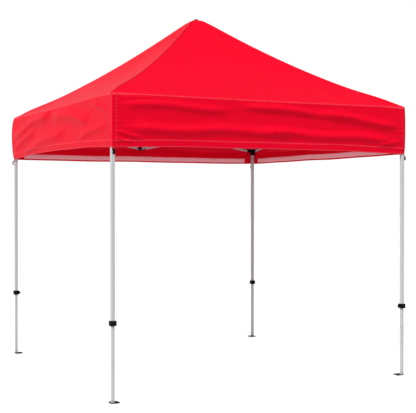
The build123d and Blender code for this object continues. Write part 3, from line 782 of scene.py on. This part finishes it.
def steel_material():
    """Dark-plated pins, rivets and screws."""
    m = Nodes("dark_plated_steel")
    m.set(Base_Color=m.mix(m.noise(60, 3), STEEL_LIGHT, STEEL_DARK), Metallic=0.35)
    m.set(Roughness=m.math("ADD", m.math("MULTIPLY", m.noise(90, 2), 0.25), 0.28))
    m.set(Normal=m.relief(m.noise(300, 2), 0.15, 0.0003))
    return m.material


def separate_solids(mesh):
    """Lists of polygon indices, one for each separate solid in a CAD node's mesh."""
    corners = {}
    parent = list(range(len(mesh.polygons)))

    def root(i):
        while parent[i] != i:
            parent[i] = parent[parent[i]]
            i = parent[i]
        return i

    for polygon in mesh.polygons:
        for vertex in polygon.vertices:
            place = tuple(round(x, 6) for x in mesh.vertices[vertex].co)
            parent[root(polygon.index)] = root(corners.setdefault(place, polygon.index))
    solids = {}
    for polygon in mesh.polygons:
        solids.setdefault(root(polygon.index), []).append(polygon.index)
    return list(solids.values())


RIVET_LIMIT = 0.1  # a smaller solid in a tube's node is a rivet or a plug
PIN_LIMIT = 0.036  # a smaller solid in a moulding's node is a pin or a screw


def paint_frame(white, black, steel):
    """Materials on the CAD nodes: tubes white, mouldings and feet black, small pins and rivets plated."""
    for name, node in frame["nodes"].items():
        if name == "canopy_top":
            continue
        is_tube = "_bar" in name or name.endswith(("leg_upper", "leg_lower")) or name == "center_pole"
        node.data.materials.clear()
        node.data.materials.append(white if is_tube else black)
        node.data.materials.append(black if name == "center_pole" else steel)
        for solid in separate_solids(node.data):
            places = [node.data.vertices[v].co for p in solid for v in node.data.polygons[p].vertices]
            size = max(max(p[k] for p in places) - min(p[k] for p in places) for k in range(3))
            is_small = size < RIVET_LIMIT if is_tube else size < PIN_LIMIT and "button" not in name
            for p in solid:
                node.data.polygons[p].material_index = int(is_small)


# ---------------------------------------------------------------- build the soft pieces
cloth = make_cloth()
cloth.data.materials.append(cloth_material())
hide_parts("canopy_top")
ride_and_gather(cloth)

tape = strip_material()
strips = [make_strip(side) for side in range(4)]
for strip in strips:
    strip.data.materials.append(tape)
    ride_and_gather(strip)

patch = make_patch()
patch.data.materials.append(vinyl_material())
ride_and_gather(patch)

webbing, plastic = webbing_material(), black_plastic_material()
for corner in range(4):
    strap, hook = make_strap(corner)
    strap.data.materials.append(webbing)
    hook.data.materials.append(plastic)

paint_frame(powder_coat_material(), plastic, steel_material())


# ---------------------------------------------------------------- floor, light and camera
FLOOR_HALF = 60
SKY_LIGHT, GROUND_LIGHT = 0.48, 0.80  # even light from above and from below
BACKDROP = 1.05  # what the camera sees behind the canopy
WALL_GLOW, CEILING_GLOW = 0.85, 0.04  # what shiny surfaces see: bright walls, dark ceiling
LAMPS = (  # towards the lamp, strength, width in degrees
    ("key", (-0.68, -0.36, 0.64), 3.3, 15),
    ("front_top", (0.05, -0.50, 0.86), 0.7, 40),
)
LENS, SENSOR = 85.0, 36.0
CAMERA_PLACE = (-4.324, -8.980, 1.6805)
CAMERA_DOWN, CAMERA_TURN = 0.507, 63.602  # degrees below level, and anticlockwise from +X


def between(links, nodes, value, low, high, at_low, at_high):
    """A socket that goes from at_low to at_high as the value goes from low to high."""
    ramp = nodes.new("ShaderNodeMapRange")
    links.new(value, ramp.inputs["Value"])
    for name, setting in (("From Min", low), ("From Max", high), ("To Min", at_low), ("To Max", at_high)):
        ramp.inputs[name].default_value = setting
    return ramp.outputs[0]


def make_stage():
    """Floor, world, lamps and camera."""
    edges = [(x * FLOOR_HALF, y * FLOOR_HALF, 0) for x, y in ((-1, -1), (1, -1), (1, 1), (-1, 1))]
    floor = mesh_object("floor", edges, [(0, 1, 2, 3)])
    m = Nodes("pale_floor")
    m.set(Base_Color=m.mix(m.noise(0.6, 2), FLOOR_LIGHT, FLOOR_DARK), Roughness=1.0)
    m.set(Emission_Color=(1, 1, 1, 1), Emission_Strength=0.90, Specular_IOR_Level=0.0)
    floor.data.materials.append(m.material)
    floor.visible_diffuse = floor.visible_glossy = False  # the even light from below comes from the world

    world = bpy.data.worlds.new("studio")
    bpy.context.scene.world = world
    world.use_nodes = True
    nodes, links = world.node_tree.nodes, world.node_tree.links
    rays, place = nodes.new("ShaderNodeLightPath"), nodes.new("ShaderNodeTexCoord")
    split, soft = nodes.new("ShaderNodeSeparateXYZ"), nodes["Background"]
    shine, seen = nodes.new("ShaderNodeBackground"), nodes.new("ShaderNodeBackground")
    links.new(place.outputs["Generated"], split.inputs[0])
    up = split.outputs["Z"]
    links.new(between(links, nodes, up, 0.15, 0.55, WALL_GLOW, CEILING_GLOW), shine.inputs["Strength"])
    links.new(between(links, nodes, up, -0.3, 0.3, GROUND_LIGHT, SKY_LIGHT), soft.inputs["Strength"])
    for background in (soft, shine, seen):
        background.inputs["Color"].default_value = (1, 1, 1, 1)
    seen.inputs["Strength"].default_value = BACKDROP
    lit, shown = nodes.new("ShaderNodeMixShader"), nodes.new("ShaderNodeMixShader")
    links.new(rays.outputs["Is Glossy Ray"], lit.inputs[0])
    links.new(soft.outputs[0], lit.inputs[1])
    links.new(shine.outputs[0], lit.inputs[2])
    links.new(rays.outputs["Is Camera Ray"], shown.inputs[0])
    links.new(lit.outputs[0], shown.inputs[1])
    links.new(seen.outputs[0], shown.inputs[2])
    links.new(shown.outputs[0], nodes["World Output"].inputs[0])

    for name, towards, strength, size in LAMPS:
        light = bpy.data.lights.new(name, "SUN")
        light.energy, light.angle = strength, math.radians(size)
        lamp = bpy.data.objects.new(name, light)
        lamp.rotation_mode = "QUATERNION"
        lamp.rotation_quaternion = Vector(towards).to_track_quat("Z", "Y")
        bpy.context.scene.collection.objects.link(lamp)

    camera = bpy.data.cameras.new("camera")
    camera.lens, camera.sensor_width = LENS, SENSOR
    camera.clip_end = 200
    viewer = bpy.data.objects.new("camera", camera)
    viewer.location = CAMERA_PLACE
    viewer.rotation_euler = (math.radians(90 - CAMERA_DOWN), 0, math.radians(CAMERA_TURN - 90))
    bpy.context.scene.collection.objects.link(viewer)
    bpy.context.scene.camera = viewer
    bpy.context.scene.view_settings.view_transform = "Standard"


make_stage()
bpy.context.view_layer.update()
